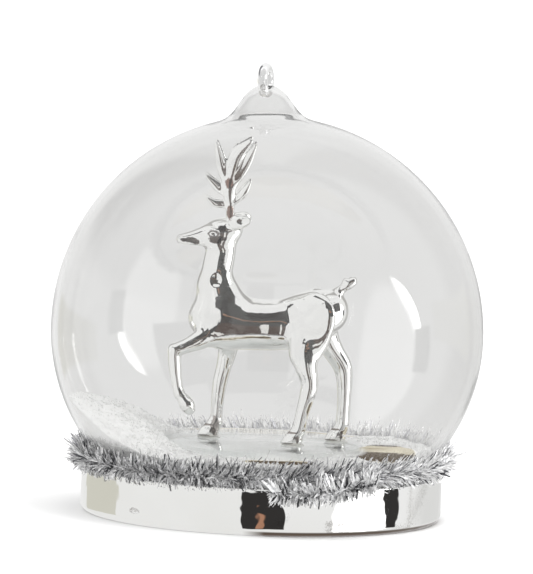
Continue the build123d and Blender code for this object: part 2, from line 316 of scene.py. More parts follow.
def painted_reflection_marks():
    """Every painted reflection and shade mark, those of the hooves moved to each hoof."""
    marks = list(PAINTED_REFLECTIONS)
    for hoof_x, hoof_y in HOOVES:
        for (x, y, z), radii, tone in HOOF_PAINTED_REFLECTIONS:
            marks.append(((hoof_x + x, hoof_y + y, HOOF_Z + z), radii, tone))
    return marks


def chrome(name, colour, dark_specks):
    """Plated plastic: a mirror with faint orange peel, a few pits and some painted reflections and shade."""
    s = Shader(name)
    tone = s.ramp(s.noise(900, 2), [(0.22, tuple(c * dark_specks for c in colour)), (0.27, colour)])
    # Painted reflections and shade: each patch darkens or lightens the plating's colour.
    for centre, radii, painted_tone in painted_reflection_marks():
        tone = s.mix(s.blot(centre, radii), tone, painted_tone)
    rough = s.between(s.noise(220, 3), 0.02, 0.07)
    s.principled(Base_Color=tone, Metallic=1.0, Roughness=rough, Normal=s.bump(s.noise(420, 2), 0.00003))
    return s.material


SILVER = (0.95, 0.95, 0.94)
# Painted shadow: the floor's contact shadow as mirrored by the lower right edge.
PAINTED_RIM_SHADOW = (0.12, 0.09, 0.07)
# Where the mirror coat is finely cracked: centre and radii.
CRAZED = (
    ((18.8, -37.2, 2.2), (4.4, 4.4, 2.4)),
    ((-28.9, -30.1, 3.4), (1.7, 1.7, 0.7)),
)


def mirror_coat(name, wave_depth):
    """Silvered glass: a wavy mirror with a few fine cracks, with a painted reflected shadow along its lower
    right edge.
    """
    s = Shader(name)
    tone = s.ramp(s.noise(35, 3), [(0.35, (0.90, 0.90, 0.88)), (0.7, SILVER)])
    bent = s.mix(0.006, s.position(), s.node("TexNoise", {"Scale": 160.0}).outputs["Color"])

    def cracks(cell_scale, stops):
        cells = s.node("TexVoronoi", {"Vector": bent, "Scale": cell_scale}, feature="DISTANCE_TO_EDGE")
        return s.ramp(cells.outputs["Distance"], stops)

    long_cracks = cracks(60.0, [(0.0, (0.2, 0.18, 0.15)), (0.014, SILVER)])
    tone = s.mix(s.ramp(s.noise(42, 2), [(0.60, 0), (0.64, 1)]), tone, long_cracks)
    crazing = cracks(300.0, [(0.0, (0.22, 0.2, 0.18)), (0.05, (0.4, 0.38, 0.36)), (0.09, SILVER)])
    for centre, radii in CRAZED:
        tone = s.mix(s.blot(centre, radii), tone, crazing)
    # Painted shadow: the lower right edge is darkened where it would mirror the floor's contact shadow.
    x, _, z = s.node("SeparateXYZ", {0: s.position()}).outputs
    low = s.remap(z, 0.9 * MM, 1.2 * MM, 1.0, 0.0)
    right = s.remap(x, -4 * MM, 1 * MM)
    tone = s.mix(s.math("MULTIPLY", low, right), tone, PAINTED_RIM_SHADOW)
    rough = s.between(s.noise(300, 3), 0.01, 0.05)
    s.principled(Base_Color=tone, Metallic=1.0, Roughness=rough, Normal=s.bump(s.noise(130, 2), wave_depth))
    return s.material


def foil(name, dark, middle, metal):
    """Crinkled metal foil; some ribbons are painted dark and some light, as painted shade and glints, and
    painted shade runs in creases.
    """
    s = Shader(name)
    ribbon = s.node("NewGeometry").outputs["Random Per Island"]
    # Painted shade and glints: each ribbon's colour is set dark or light at random.
    ribbon_shade_and_glint = s.ramp(
        ribbon,
        [
            (0.0, (dark, dark, dark * 1.1)),
            (0.16, (dark * 1.6, dark * 1.6, dark * 1.7)),
            (0.24, middle),
            (0.42, 1.0),
        ],
    )
    # Painted shade: the foil's colour darkens along creases.
    crease_shade = s.ramp(s.noise(1500, 2), [(0.34, (0.5, 0.5, 0.52)), (0.48, 1.0)])
    s.principled(
        Base_Color=s.mix(1.0, ribbon_shade_and_glint, crease_shade, "MULTIPLY"),
        Metallic=metal,
        Roughness=s.between(s.noise(2500, 2), 0.05, 0.22),
        Normal=s.bump(s.noise(3000, 2), 0.0001),
    )
    return s.material


def wire(name):
    """Dull galvanised wire."""
    s = Shader(name)
    tone = s.ramp(s.noise(800, 3), [(0.3, 0.28), (0.7, (0.6, 0.6, 0.61))])
    s.principled(Base_Color=tone, Metallic=1.0, Roughness=s.between(s.noise(900), 0.25, 0.5))
    return s.material


def snow_material():
    """Loose fluff that light goes a little way into."""
    s = Shader("snow")
    s.principled(
        Base_Color=s.ramp(s.noise(700, 4), [(0.3, (0.70, 0.70, 0.695)), (0.6, (0.75, 0.75, 0.745))]),
        Roughness=s.between(s.noise(500), 0.75, 0.95),
        Subsurface_Weight=0.4,
        Subsurface_Radius=(2 * MM, 2 * MM, 2 * MM),
        Subsurface_Scale=1.0,
        Sheen_Weight=0.2,
        Normal=s.bump(s.noise(1400, 5, 0.7), 0.0006),
    )
    return s.material


# Patches of painted brown shade on the floor's silvering: centre and radii.
PAINTED_SHADE_PATCHES = (
    ((27.0, -9, 15.5), (10.0, 9.0, 5)),
    ((30.0, 12.5, 15.5), (6.0, 2.2, 5)),
    ((5.0, -27, 15.5), (9.0, 3.5, 5)),
)
PAINTED_SHADE_BROWN = (0.08, 0.06, 0.04)


def plug_material():
    """White plastic under the stand; past it the silvering shows cream and brown with patches of painted
    shade, glossy at the back.
    """
    s = Shader("silvered_floor")
    creams = [(0.34, (0.26, 0.22, 0.15)), (0.42, (0.43, 0.39, 0.30)), (0.6, (0.54, 0.50, 0.40))]
    worn_and_shaded = s.ramp(s.noise(110, 5, 0.6), creams)
    # Painted shade: brown patches darken the cream silvering where shade falls.
    for centre, radii in PAINTED_SHADE_PATCHES:
        worn_and_shaded = s.mix(s.blot(centre, radii), worn_and_shaded, PAINTED_SHADE_BROWN)
    white = s.ramp(s.noise(90, 4), [(0.3, (0.56, 0.56, 0.55)), (0.7, (0.68, 0.68, 0.67))])
    x, y, _ = s.node("SeparateXYZ", {0: s.position()}).outputs
    radius = s.measured("LENGTH", s.node("CombineXYZ", {0: x, 1: y}).outputs[0])["Value"]
    tone = s.mix(s.remap(radius, 22.5 * MM, 24.5 * MM), white, worn_and_shaded)
    tone = s.mix(s.remap(radius, 35.2 * MM, 35.7 * MM), tone, (0.8, 0.8, 0.79))
    s.principled(
        Base_Color=tone,
        Roughness=s.between(s.noise(160, 4), 0.15, 0.4),
        Specular_IOR_Level=s.remap(y, 10 * MM, 18 * MM, 0.0, 0.6),
        Normal=s.bump(s.noise(500), 0.0002),
    )
    return s.material


def glue_material():
    """Clear cured glue, a little cloudy."""
    s = Shader("clear_glue")
    s.principled(
        Base_Color=s.ramp(s.noise(200, 3), [(0.3, (0.78, 0.77, 0.72)), (0.7, (0.93, 0.93, 0.9))]),
        Roughness=s.between(s.noise(400), 0.1, 0.3),
        Transmission_Weight=0.5,
        IOR=1.49,
        Normal=s.bump(s.noise(350), 0.0003),
    )
    return s.material


GLASS = glass("globe_glass", (0.985, 0.985, 0.982), 25, 0.00012, roughness=0.003, shine=0.2)
LOOP_GLASS = glass("loop_glass", (0.86, 0.86, 0.86), 120, 0.0003, roughness=0.01, shine=0.15)
ACRYLIC = clear_sheet("acrylic", index=1.4)
CHROME = chrome("plated_deer", (0.93, 0.93, 0.92), dark_specks=0.5)
SILVERED_GLASS = mirror_coat("silvered_glass", wave_depth=0.0003)
MIRROR = mirror_coat("mirror_coat", wave_depth=0.0002)
# The foil copies differ in painted light: the back half's is painted paler, the free end's has darker painted
# shade.
FOIL = foil("tinsel_foil", dark=0.1, middle=0.72, metal=0.62)
PAINTED_LIGHT_FOIL = foil("tinsel_foil_back", dark=0.55, middle=0.9, metal=0.62)
END_FOIL = foil("tinsel_foil_end", dark=0.05, middle=0.65, metal=0.35)
WIRE = wire("tinsel_wire")
SNOW = snow_material()
PLUG = plug_material()
GLUE = glue_material()


def refinish(node, material):
    """A CAD node keeps its shape and gets a better material."""
    for slot in NODES[node].material_slots:
        slot.material = material


# ---------------------------------------------------------------- globe, loop, base and stand

def globe_radius(z, inset=0.0):
    """The globe's radius at heights, inset from its outer face."""
    up = np.asarray(z, float) - GLOBE_Z
    tall = np.where(up > 0, GLOBE_R - inset, GLOBE_DROP - inset)
    return (GLOBE_R - inset) * np.sqrt(np.clip(1 - (up / tall) ** 2, 0, 1))


def leaned(points, start=20.0, full=40.0):
    """Turns points about the globe's centre, more and more towards its top."""
    p = np.array(points, float)
    up = p[:, 2] - GLOBE_Z
    t = np.clip((up - start) / (full - start), 0, 1)
    angle = -TOP_LEAN * t * t * (3 - 2 * t)
    x = p[:, 0] * np.cos(angle) + up * np.sin(angle)
    z = -p[:, 0] * np.sin(angle) + up * np.cos(angle)
    return np.stack([x, p[:, 1], z + GLOBE_Z], 1)


# The drawn point of the glass, outside and inside: radius, and height over the globe's centre.
NIPPLE = (
    (13.4, 48.17), (11.3, 48.75), (9.5, 49.5), (8.1, 50.6), (6.9, 52.0),
    (5.8, 53.6), (4.5, 55.2), (3.1, 56.4), (1.5, 57.1), (0, 57.2),
)
NIPPLE_INSIDE = (
    (12.9, 47.27), (11.0, 47.85), (9.2, 48.6), (7.6, 49.75), (6.4, 51.3),
    (5.2, 53.0), (3.8, 54.7), (1.8, 55.9), (0, 56.2),
)


def globe_face(inset, nipple, count):
    """One face of the globe from the mouth to the point: a deeper lower half, a round upper half."""
    radius, drop = GLOBE_R - inset, GLOBE_DROP - inset
    mouth = -degrees(asin((GLOBE_Z - MOUTH_Z) / drop))
    top = degrees(atan2(nipple[0][1], nipple[0][0]))
    face = arc((0, GLOBE_Z), (radius, drop), mouth, 0, 40)
    face += arc((0, GLOBE_Z), radius, 0, top, 60)[1:-1]
    return face + [(r, GLOBE_Z + h) for r, h in smooth_line(nipple, count)]


def make_globe():
    outer = globe_face(0.0, NIPPLE, 5)
    inner = globe_face(GLASS_WALL, NIPPLE_INSIDE, 4)
    points, faces = turned(outer + inner[::-1], ROUND_STEPS)
    globe = add_object("globe", leaned(points), faces, GLASS)
    take_place(globe, "clear_glass", "glass_globe")


def make_loop():
    """A glass ring pulled by hand: thicker where it is welded to the point."""
    outer, rod, swelling = 8.0, 2.4, 0.12
    ring = (outer - rod) / 2
    turn = radians(75)
    rounds, sides = 72, 24
    points = []
    for i in range(rounds):
        a = 2 * pi * i / rounds
        low = max(0.0, -sin(a)) ** 3
        thick = rod / 2 * (1 + swelling * low)
        for j in range(sides):
            b = 2 * pi * j / sides
            reach = ring + thick * cos(b)
            along, side = reach * cos(a), thick * sin(b)
            x = along * cos(turn) - side * sin(turn)
            y = along * sin(turn) + side * cos(turn)
            points.append((x, y, RING_TOP - outer / 2 + reach * sin(a)))
    faces = [face[::-1] for face in wrapped(rounds, sides)]
    loop = add_object("loop", leaned(points), faces, LOOP_GLASS)
    take_place(loop, "clear_glass", "hanging_loop")


def dish_profile(radius, low, top, corner, wall, floor):
    """A dish with a rounded bottom corner and a rounded rim."""
    lip = wall / 2
    inner_corner = max(corner - wall, 0.3)
    profile = [(0, low)]
    profile += arc((radius - corner, low + corner), corner, -90, 0, 12)
    profile += arc((radius - lip, top - lip), lip, 0, 180, 12)
    profile += arc((radius - wall - inner_corner, low + floor + inner_corner), inner_corner, 0, -90, 8)
    profile += [(0, low + floor)]
    return profile


def make_base():
    """The glass dish under the globe."""
    profile = dish_profile(BASE_R, 0, BASE_TOP, corner=1.8, wall=1.0, floor=1.2)
    points, faces = turned(profile, ROUND_STEPS)
    base = add_object("base", points, faces, SILVERED_GLASS)
    take_place(base, "base_glass", "glass_base")


def make_lining():
    """The mirror coat, a hair inside the glass and faintly uneven."""
    coat, side_gap, floor_gap = 0.12, 0.02, 0.01
    radius, low = LINING_HIGH[0] - side_gap, LINING_LOW[2] + floor_gap
    profile = dish_profile(radius, low, LINING_HIGH[2], corner=0.8, wall=coat, floor=coat)
    points, faces = turned(profile, ROUND_STEPS)
    lining = add_object("lining", points, faces, MIRROR)
    take_place(lining, "silver_mirror", "silver_lining")


def make_disc():
    """The clear stand, its edges broken, on a hair of air over the floor."""
    edge, air = 0.25, 0.03
    low = DISC_LOW[2] + air
    profile = [(0, low)]
    profile += arc((DISC_R - edge, low + edge), edge, -90, 0, 6)
    profile += arc((DISC_R - edge, DISC_Z - edge), edge, 0, 90, 6)
    profile += [(0, DISC_Z)]
    points, faces = turned(profile, 128)
    disc = add_object("disc", points, faces, ACRYLIC)
    take_place(disc, "clear_acrylic", "stand_disc")


# ---------------------------------------------------------------- sculpted shapes from a field

FAR_OFF = 50.0


class Field:
    """A signed distance field in a box, shaped by adding and cutting soft solids."""

    def __init__(self, low, high, step):
        self.low = np.array(low, float)
        self.step = step
        count = [int(ceil((b - a) / step)) + 1 for a, b in zip(low, high)]
        self.axes = [self.low[i] + step * np.arange(count[i]) for i in range(3)]
        self.value = np.full(count, FAR_OFF)

    def window(self, low, high):
        """The part of the field between two corners, and its coordinates."""
        cut = []
        for i in range(3):
            a = int(np.clip((low[i] - self.low[i]) / self.step, 0, len(self.axes[i]) - 1))
            b = int(np.clip((high[i] - self.low[i]) / self.step + 2, 1, len(self.axes[i])))
            cut.append(slice(a, b))
        grid = np.meshgrid(*[self.axes[i][cut[i]] for i in range(3)], indexing="ij", sparse=True)
        return tuple(cut), grid

    def join(self, cut, distance, blend):
        old = self.value[cut]
        h = np.clip(0.5 + 0.5 * (old - distance) / blend, 0, 1)
        self.value[cut] = old * (1 - h) + distance * h - blend * h * (1 - h)

    def carve(self, cut, distance, blend):
        old = self.value[cut]
        h = np.clip(0.5 - 0.5 * (old + distance) / blend, 0, 1)
        self.value[cut] = old * (1 - h) - distance * h + blend * h * (1 - h)

    def limb(self, stations, blend, pieces=6):
        """Elliptical sections along a line of (x, y, z, radius in side view, radius across)."""
        line = smooth_line(stations, pieces)
        pad = blend + 1.5
        reach = line[:, 3:].max() + pad
        cut, (x, y, z) = self.window(line[:, :3].min(0) - reach, line[:, :3].max(0) + reach)
        best = np.full(self.value[cut].shape, FAR_OFF)
        for a, b in zip(line[:-1], line[1:]):
            d = b[:3] - a[:3]
            long2 = max(d @ d, 1e-9)
            t = np.clip(((x - a[0]) * d[0] + (y - a[1]) * d[1] + (z - a[2]) * d[2]) / long2, 0, 1)
            side = a[3] + (b[3] - a[3]) * t
            across = a[4] + (b[4] - a[4]) * t
            qx, qy, qz = x - a[0] - d[0] * t, y - a[1] - d[1] * t, z - a[2] - d[2] * t
            scaled = np.sqrt((qx * qx + qz * qz) / side**2 + (qy / across) ** 2)
            best = np.minimum(best, (scaled - 1) * np.minimum(side, across))
        self.join(cut, best, blend)

    def ball(self, centre, radii, blend, carve=False, turn=0.0, yaw=0.0):
        """An ellipsoid, yawed about Z and turned in the side view, added or cut away."""
        reach = max(radii) + blend + 1.0
        c = np.array(centre, float)
        cut, (x, y, z) = self.window(c - reach, c + reach)
        x, y, z = x - c[0], y - c[1], z - c[2]
        x, y = x * cos(yaw) + y * sin(yaw), y * cos(yaw) - x * sin(yaw)
        u = x * cos(turn) + z * sin(turn)
        w = z * cos(turn) - x * sin(turn)
        scaled = np.sqrt((u / radii[0]) ** 2 + (y / radii[1]) ** 2 + (w / radii[2]) ** 2)
        distance = (scaled - 1) * min(radii)
        (self.carve if carve else self.join)(cut, distance, blend)

    def below(self, height):
        """Cuts away what is below a height."""
        z = self.axes[2][None, None, :]
        self.value = np.maximum(self.value, height - z)

    def surface(self):
        """Points and quads of the zero level, one point in each cell that it crosses."""
        v = self.value
        inside = v < 0
        shape = np.array(v.shape) - 1
        total = np.zeros((*shape, 3))
        crossings = np.zeros(shape)
        for axis in range(3):
            others = [i for i in range(3) if i != axis]
            for p in (0, 1):
                for q in (0, 1):
                    a = [slice(0, n) for n in shape]
                    b = [slice(0, n) for n in shape]
                    for other, shift in zip(others, (p, q)):
                        a[other] = slice(shift, shape[other] + shift)
                        b[other] = slice(shift, shape[other] + shift)
                    b[axis] = slice(1, shape[axis] + 1)
                    va, vb = v[tuple(a)], v[tuple(b)]
                    crossed = (va < 0) != (vb < 0)
                    t = np.where(crossed, va / np.where(crossed, va - vb, 1), 0)
                    crossings += crossed
                    total[..., axis] += t
                    total[..., others[0]] += crossed * p
                    total[..., others[1]] += crossed * q
        used = crossings > 0
        number = np.full(shape, -1)
        number[used] = np.arange(used.sum())
        cell = np.argwhere(used)
        points = self.low + self.step * (cell + total[used] / crossings[used][:, None])
        return points, self.quads(inside, number, shape)

    @staticmethod
    def quads(inside, number, shape):
        """A quad across each grid edge that runs from inside to outside."""
        faces = []
        for axis in range(3):
            o1, o2 = (axis + 1) % 3, (axis + 2) % 3
            core = [slice(1, n) for n in shape]
            core[axis] = slice(0, shape[axis])
            ahead = list(core)
            ahead[axis] = slice(1, shape[axis] + 1)
            first, second = inside[tuple(core)], inside[tuple(ahead)]
            for out, flip in ((first & ~second, False), (~first & second, True)):
                where = np.argwhere(out) + [c.start for c in core]
                corners = []
                for s1, s2 in ((1, 1), (0, 1), (0, 0), (1, 0)):
                    at = where.copy()
                    at[:, o1] -= s1
                    at[:, o2] -= s2
                    corners.append(number[tuple(at.T)])
                quad = np.stack(corners[::-1] if flip else corners, 1)
                faces.append(quad)
        return np.concatenate(faces)


def relaxed(points, faces, rounds):
    """Evens out a mesh without shrinking it."""
    edges = np.concatenate([faces[:, [i, (i + 1) % 4]] for i in range(4)])
    count = len(points)
    degree = np.bincount(edges.ravel(), minlength=count)
    p = points.copy()
    pull_in, push_out = 0.55, -0.57
    for pull in (pull_in, push_out) * rounds:
        mean = np.stack(
            [
                np.bincount(edges[:, 0], p[edges[:, 1], i], count)
                + np.bincount(edges[:, 1], p[edges[:, 0], i], count)
                for i in range(3)
            ],
            1,
        )
        p += pull * (mean / degree[:, None] - p)
    return p


def sculpt(name, field, material, rounds):
    """The field's surface, evened out, as an object."""
    points, faces = field.surface()
    points = relaxed(points, faces, rounds)
    return add_object(name, points, faces.tolist(), material)


# ---------------------------------------------------------------- the reindeer

TRUNK = (
    (-15.6, 0, 45.6, 2.6, 2.4),
    (-13.6, 0, 45.0, 4.5, 4.0),
    (-10.6, 0, 44.5, 5.9, 4.8),
    (-5.5, 0, 44.2, 6.1, 5.1),
    (-1.5, 0, 44.1, 5.95, 4.85),
    (2.0, 0, 44.2, 5.9, 4.15),
    (5.5, 0, 44.8, 6.0, 3.5),
    (10.2, 0, 46.4, 6.0, 4.4),
    (13.2, 0, 47.6, 5.2, 4.4),
)
NECK = (
    (-11.0, 0, 46.0, 5.6, 4.2),
    (-11.3, 0, 49.5, 5.4, 4.0),
    (-12.1, 0, 52.6, 4.6, 3.75),
    (-12.1, 0, 55.8, 3.7, 3.05),
    (-11.5, 0, 60.0, 3.5, 2.5),
    (-10.9, 0, 63.8, 3.1, 2.2),
)
HEAD = (
    (-9.3, 0, 66.0, 2.8, 2.4),
    (-11.4, 0, 65.2, 3.35, 2.9),
    (-13.4, 0, 64.6, 2.9, 2.6),
    (-15.4, 0, 64.1, 2.35, 2.05),
    (-18.0, 0, 63.6, 1.75, 1.6),
    (-20.5, 0, 63.3, 1.25, 1.25),
)
UPPER_ARM = (
    (-11.4, -2.8, 43.4, 2.9, 1.6),
    (-14.6, -4, 41, 2.42, 1.89),
    (-18.2, -4.8, 39.2, 1.78, 1.61),
    (-21, -5, 38.1, 1.62, 1.56),
)
SHIN = (
    (-21.15, -5, 37.9, 1.62, 1.62),
    (-21.1, -5, 36, 1.55, 1.49),
    (-20.7, -5, 32.4, 1.38, 1.3),
    (-20.1, -5, 29.2, 1.2, 1.27),
    (-19.8, -5, 28, 1.23, 1.3),
)
RAISED_HOOF = (
    (-19.6, -5, 27.9, 1.23, 1.3),
    (-18.8, -5, 26.8, 1.37, 1.43),
    (-17.9, -5, 25.5, 1.76, 1.76),
    (-17.2, -5, 24.5, 1.38, 1.44),
)
FORELEG = (
    (-9.2, 3, 42, 2.8, 1.6),
    (-8.9, 4.2, 38, 2.31, 1.78),
    (-9.7, 4.8, 33.5, 1.8, 1.56),
    (-10.5, 5, 29.4, 1.69, 1.5),
    (-10.9, 5, 25, 1.47, 1.33),
    (-11, 5, 21.8, 1.42, 1.35),
    (-11.3, 5, 20.4, 1.69, 1.5),
    (-12.1, 5, 18.9, 1.76, 1.59),
)
HIND_LEG = (
    (10, -3.4, 42.6, 4.78, 2.08),
    (8.9, -4.2, 38.6, 3.78, 2.27),
    (9.3, -4.8, 35.2, 2.58, 2.02),
    (10.2, -5, 31.6, 2.07, 1.67),
    (9.9, -5, 28.8, 1.86, 1.56),
    (8.9, -5, 24.8, 1.55, 1.35),
    (8.3, -5, 21.6, 1.55, 1.42),
    (8, -5, 20.4, 1.68, 1.5),
    (7.2, -5, 18.9, 1.76, 1.59),
)
FAR_HIND_LEG = (
    (12.9, 3.2, 43.4, 3.4, 1.9),
    (14, 4, 40.6, 2.86, 2.09),
    (15.7, 4.6, 37.8, 2.42, 1.95),
    (17.6, 5, 34.8, 2.22, 1.8),
    (18.3, 5, 31.6, 1.89, 1.69),
    (18.4, 5, 27, 1.59, 1.52),
    (18.3, 5, 22.4, 1.59, 1.45),
    (18.1, 5, 20.6, 1.68, 1.5),
    (17.3, 5, 18.9, 1.76, 1.59),
)
TAIL = (
    (15.2, 0, 51.6, 1.4, 1.2),
    (16.9, 0, 53.1, 1.05, 1.0),
    (18.2, 0, 54.2, 1.25, 1.2),
    (19.2, 0, 54.9, 1.15, 1.1),
)
EAR = (
    (-9.3, 1.7, 66.9, 0.9, 0.65),
    (-8.1, 2.8, 67.9, 1.7, 0.75),
    (-6.6, 3.6, 68.3, 1.6, 0.65),
    (-5.3, 4.2, 68.5, 0.7, 0.4),
)


def mirrored(stations):
    """The same limb on the other side."""
    return [(x, -y, z, a, b) for x, y, z, a, b in stations]


def hoof(field, x, y):
    """A wedge-shaped hoof, split in front, with a raised coronet."""
    field.ball((x - 0.1, y, HOOF_Z + 0.9), (2.35, 1.75, 1.9), 0.4)
    field.ball((x - 1.2, y, HOOF_Z + 0.3), (1.7, 1.5, 0.9), 0.4)
    field.ball((x + 0.6, y, HOOF_Z + 2.5), (1.55, 1.45, 0.75), 0.3)
    field.ball((x - 2.4, y, HOOF_Z + 0.8), (1.6, 0.17, 1.6), 0.15, carve=True)


def head_details(field):
    """Brow, eyelid, socket, eyeball, nostril, mouth and jaw on each side."""
    for side in (1, -1):
        field.ball((-13.0, 1.7 * side, 66.1), (1.6, 0.9, 0.5), 0.5, turn=radians(-18))
        field.ball((-13.3, 2.3 * side, 65.0), (1.15, 0.55, 0.7), 0.25, turn=radians(-14))
        field.ball((-13.3, 2.95 * side, 65.0), (0.85, 0.5, 0.44), 0.1, carve=True, turn=radians(-14))
        field.ball((-13.3, 2.35 * side, 65.0), (0.5, 0.42, 0.4), 0.06)
        field.ball((-20.9, 1.1 * side, 63.9), (0.45, 0.34, 0.3), 0.12, carve=True, turn=radians(-20))
        field.ball((-19.0, 1.45 * side, 62.9), (2.6, 0.5, 0.16), 0.12, carve=True, turn=radians(-4))
        field.ball((-12.4, 1.5 * side, 62.9), (2.4, 1.2, 1.5), 0.8)


def muscle(field):
    """Shoulder, haunch and a hollow in the neck; the haunch's broad side is turned forward."""
    for side in (1, -1):
        field.ball((-12.2, 6.75 * side, 55.2), (3.8, 3.8, 3.8), 0.1, carve=True)
        field.ball((-10.8, 2.5 * side, 44.4), (3.6, 1.8, 5.2), 2.2, turn=radians(14))
        turned_in = radians(29) * side
        field.ball((10.2, 3.3 * side, 46.0), (5.9, 2.1, 6.8), 0.8, turn=radians(-22), yaw=turned_in)
    field.ball((15.4, 0, 48.2), (2.8, 3.4, 3.8), 1.2)
    field.ball((-14.8, 0, 45.6), (2.2, 2.6, 3.2), 1.4)


def make_deer():
    """The body, head, legs, tail and ears as one smooth skin, flat under its hooves."""
    low, high = span("reindeer_body")
    room = 1.5
    field = Field(low - room, high + room, 0.22)
    field.limb(TRUNK, 1.2)
    field.limb(NECK, 2.2)
    field.limb(HEAD, 1.2)
    muscle(field)
    for leg in (FORELEG, HIND_LEG, FAR_HIND_LEG):
        field.limb(leg, 1.4)
    field.limb(UPPER_ARM, 1.4)
    field.limb(SHIN, 0.5)
    field.limb(RAISED_HOOF, 0.5)
    field.limb(TAIL, 0.8)
    field.ball((17.6, 0, 54.9), (1.0, 0.9, 0.7), 0.3, turn=radians(70))
    field.ball((19.3, 0, 55.4), (0.8, 0.8, 0.7), 0.25, turn=radians(50))
    for ear, side in ((EAR, 1), (mirrored(EAR), -1)):
        field.limb(ear, 0.5)
        field.ball((-7.0, 4.35 * side, 68.2), (1.9, 0.55, 1.0), 0.2, carve=True, turn=radians(10))
    head_details(field)
    for x, y in HOOVES:
        hoof(field, x, y)
    field.ball((-16.6, -5, 24.0), (1.3, 0.16, 1.0), 0.12, carve=True, turn=radians(-50))
    field.below(HOOF_Z)
    deer = sculpt("reindeer", field, CHROME, 5)
    take_place(deer, "plated_plastic", "reindeer_body")


STEM = (
    (-9.6, 1.2, 67.9, 0.95, 0.9),
    (-9.6, 1.9, 71.0, 0.95, 0.8),
    (-9.9, 2.7, 73.8, 1.3, 0.8),
    (-10.1, 3.4, 76.4, 1.75, 0.75),
    (-9.8, 3.8, 78.2, 1.0, 0.5),
)
# Each tine: points from root to tip, and how broad it is.
TINES = (
    (((-9.4, 1.9, 70.9), (-11.2, 2.1, 71.9), (-13.2, 2.5, 72.1), (-14.8, 2.9, 73.2)), 0.85),
    (((-9.8, 2.8, 74.6), (-11.8, 3.1, 75.3), (-13.4, 3.5, 76.7), (-15.2, 4.0, 78.4)), 0.95),
    (((-10.2, 3.5, 76.4), (-11.5, 3.9, 79.4), (-12.3, 4.3, 82.4), (-13.2, 4.8, 86.0)), 1.05),
    (((-9.8, 3.6, 76.8), (-9.3, 4.2, 80.6), (-8.2, 4.8, 84.0), (-5.5, 5.4, 86.8)), 1.45),
    (((-9.2, 3.4, 76.4), (-7.6, 3.9, 79.2), (-6.0, 4.3, 82.3), (-4.3, 4.9, 85.8)), 1.1),
    (((-9.5, 2.2, 72.0), (-7.7, 2.6, 73.6), (-6.4, 3.1, 75.2), (-5.2, 3.6, 77.3)), 0.9),
)
# A tine's half width, to be scaled by its breadth, and half thickness at its four points.
TINE_SHAPE = ((0.75, 0.6), (1.1, 0.55), (1.05, 0.5), (0.45, 0.36))


def make_antler(name, node, side):
    """A stem with leaf-shaped tines; side is 1 for the left antler, -1 for the right."""
    low, high = span(node)
    room = 1.0
    field = Field(low - room, high + room, 0.15)
    field.limb(STEM if side > 0 else mirrored(STEM), 0.4)
    for points, broad in TINES:
        leaf = [(x, y * side, z, w * broad, t) for (x, y, z), (w, t) in zip(points, TINE_SHAPE)]
        field.limb(leaf, 0.35)
    antler = sculpt(name, field, CHROME, 3)
    take_place(antler, "plated_plastic", node)


# ---------------------------------------------------------------- the tinsel garland

def pushed_out(p):
    """Keeps ribbons outside the globe and the base, but lets them into the joint between the two."""
    clear, joint_top, joint_depth = 0.15, MOUTH_Z + 2, 1.0
    r = np.hypot(p[..., 0], p[..., 1])
    z = p[..., 2]
    least = np.where(z > BASE_TOP, globe_radius(np.clip(z, MOUTH_Z, None)), BASE_R) + clear
    in_joint = (z > BASE_TOP) & (z < joint_top)
    least = np.where(in_joint, np.minimum(least, BASE_R - joint_depth), least)
    grow = np.maximum(r, least) / np.maximum(r, 1e-6)
    return np.stack([p[..., 0] * grow, p[..., 1] * grow, z], -1)


# A ribbon's sections: how far along it each lies, and its share of the width there.
RIBBON = ((0.04, 1.0), (0.55, 1.0), (1.0, 0.55))
RIBBON_HALF_THICK = 0.02


def fibres(rng, roots, along, reach, lift, lean, wide=1.0):
    """Foil ribbons from points on a wire: closed strips of three sections each."""
    count = len(roots)
    up = np.tile([0.0, 0.0, 1.0], (count, 1))
    out = np.cross(along, up)
    turn = rng.uniform(0, 2 * pi, count)
    direction = out * np.cos(turn)[:, None] + up * np.sin(turn)[:, None]
    direction += along * rng.normal(lean, 0.28, count)[:, None] + up * lift
    direction /= np.linalg.norm(direction, axis=1)[:, None]
    length = reach * rng.uniform(0.72, 1.08, count) * (1 + 0.22 * direction[:, 2])
    bend = rng.normal(0, 0.1, (count, 3))
    width = wide * rng.uniform(0.1, 0.2, count) * rng.choice([1.0, 1.6], count, p=[0.7, 0.3])
    flat = np.cross(direction, rng.normal(size=(count, 3)))
    flat /= np.linalg.norm(flat, axis=1)[:, None]
    edge = np.cross(flat, direction)
    twist = rng.normal(0, 0.8, count)
    sections = []
    for t, share in RIBBON:
        middle = pushed_out(roots + direction * (length * t)[:, None] + bend * (length * t * t)[:, None])
        c, s = np.cos(twist * t)[:, None], np.sin(twist * t)[:, None]
        half = (flat * c + edge * s) * (width * share)[:, None]
        thick = (edge * c - flat * s) * RIBBON_HALF_THICK
        near, far = middle + half, middle - half
        sections.append([near + thick, far + thick, far - thick, near - thick])
    corners = 4 * len(RIBBON)
    points = np.array(sections).reshape(corners, count, 3).transpose(1, 0, 2).reshape(-1, 3)
    strip = [(0, 3, 2, 1), (8, 9, 10, 11)]
    for s in (0, 4):
        strip += [(s + i, s + (i + 1) % 4, s + 4 + (i + 1) % 4, s + 4 + i) for i in range(4)]
    faces = (np.array(strip)[None] + corners * np.arange(count)[:, None, None]).reshape(-1, 4)
    return points, faces


def ring_roots(rng, start, sweep, density, radius, height, spread=0.25):
    """Random points on a wire's arc, with the wire's direction at each."""
    count = int(radians(sweep) * radius * density)
    a = radians(start) + radians(sweep) * rng.random(count)
    roots = np.stack([radius * np.cos(a), radius * np.sin(a), height(a)], 1)
    roots += rng.normal(0, spread, (count, 3))
    along = np.stack([-np.sin(a), np.cos(a), np.zeros(count)], 1)
    return roots, along


